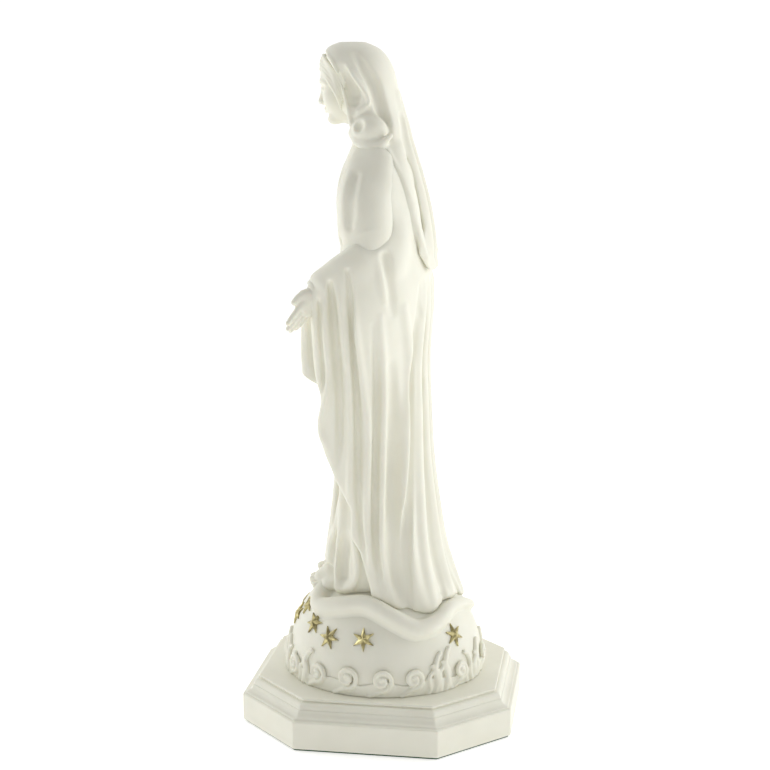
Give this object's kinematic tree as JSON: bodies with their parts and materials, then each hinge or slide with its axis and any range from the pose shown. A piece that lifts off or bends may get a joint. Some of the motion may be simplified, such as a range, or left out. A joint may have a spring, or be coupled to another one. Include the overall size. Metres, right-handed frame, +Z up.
{
  "type": "madonna statue",
  "caption": "Standing veiled madonna figure with lowered open hands, on a starred globe over a moulded plinth with cut corners.",
  "frame": {"origin": "centre of the underside of the felt pad, on the surface the statue stands on", "axes": "+Z up; the figure faces -Y; +X is the figure's left"},
  "size_m": [0.19, 0.2, 0.4974],
  "materials": {
    "composite_marble": "fine matt cast marble-and-resin, warm ivory white",
    "gilding": "gold leaf paint, bright on the ridges and darker at the edges",
    "felt": "green self-adhesive felt",
    "fibreboard": "pressed brown fibreboard",
    "steel": "zinc-plated steel"
  },
  "bodies": {
    "root": {"felt_pad": "felt", "closing_board": "fibreboard", "board_screws": "steel", "plinth": "composite_marble", "globe": "composite_marble", "cloud_band": "composite_marble", "gilded_stars": "gilding", "serpent": "composite_marble", "tunic": "composite_marble", "mantle": "composite_marble", "veil": "composite_marble", "head": "composite_marble", "hair": "composite_marble", "left_sleeve": "composite_marble", "right_sleeve": "composite_marble", "left_hand": "composite_marble", "right_hand": "composite_marble", "left_wrist_pin": "steel", "right_wrist_pin": "steel", "left_foot": "composite_marble", "right_foot": "composite_marble", "figure_rod": "steel", "rod_washer": "steel", "rod_nut": "steel"}
  },
  "joints": []
}
